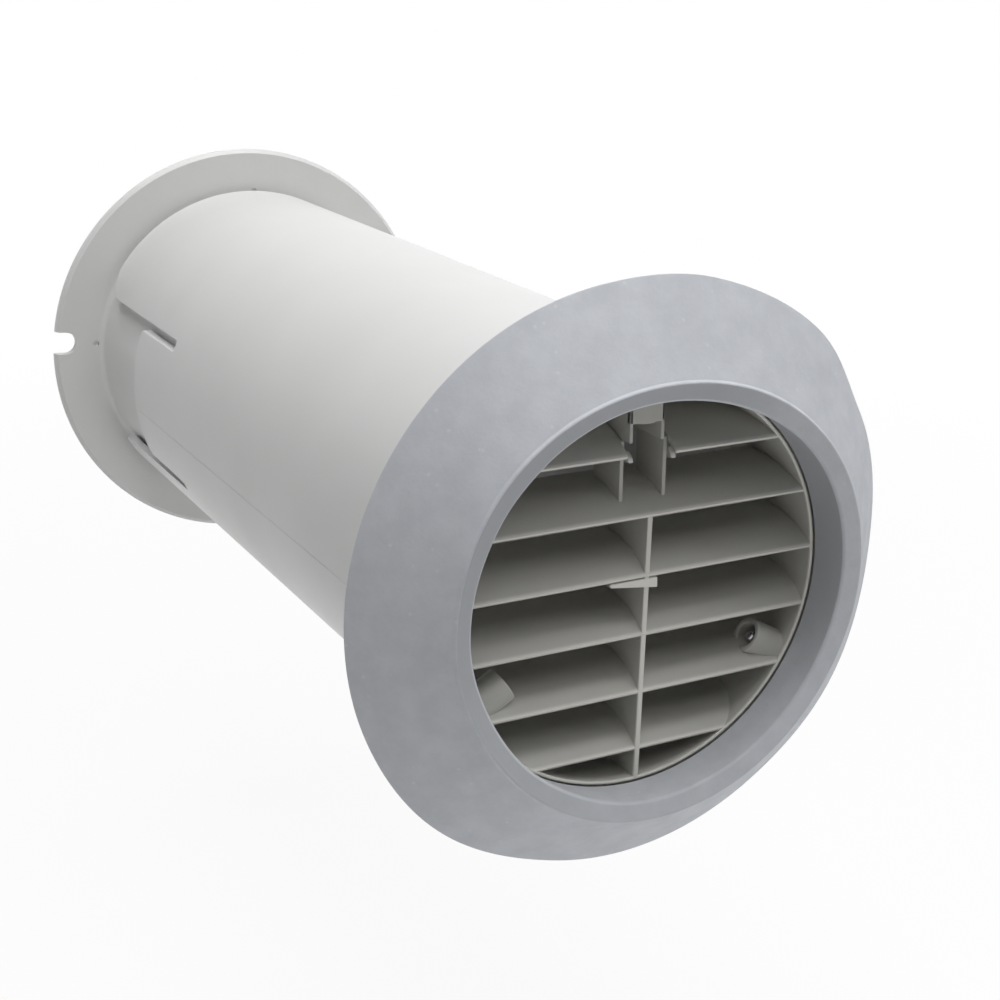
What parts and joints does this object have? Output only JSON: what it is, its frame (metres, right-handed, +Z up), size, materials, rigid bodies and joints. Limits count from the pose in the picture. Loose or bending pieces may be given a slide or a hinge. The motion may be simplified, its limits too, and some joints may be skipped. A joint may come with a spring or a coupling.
{
  "type": "wall vent sleeve",
  "caption": "White tube that carries air through a house wall, with a grey louvred grille and soft rubber weather flange outdoors and a push-in flange plate indoors.",
  "frame": {"origin": "on the tube's axis, in the plane of the inner flange that seats on the inner face of the wall", "axes": "+Y along the tube from outdoors to the room, +Z up, +X to the right seen from outdoors"},
  "size_m": [0.146, 0.2869, 0.146],
  "materials": {
    "white_plastic": "moulded white ABS, semi-gloss",
    "grille_plastic": "moulded warm grey ABS, satin",
    "soft_rubber": "moulded bluish grey rubber, matt",
    "screw_steel": "zinc plated steel"
  },
  "bodies": {
    "root": {"wall_tube": "white_plastic", "inner_flange": "white_plastic", "louvre_grille": "grille_plastic", "rubber_flange": "soft_rubber", "grille_screws": "screw_steel"}
  },
  "joints": []
}
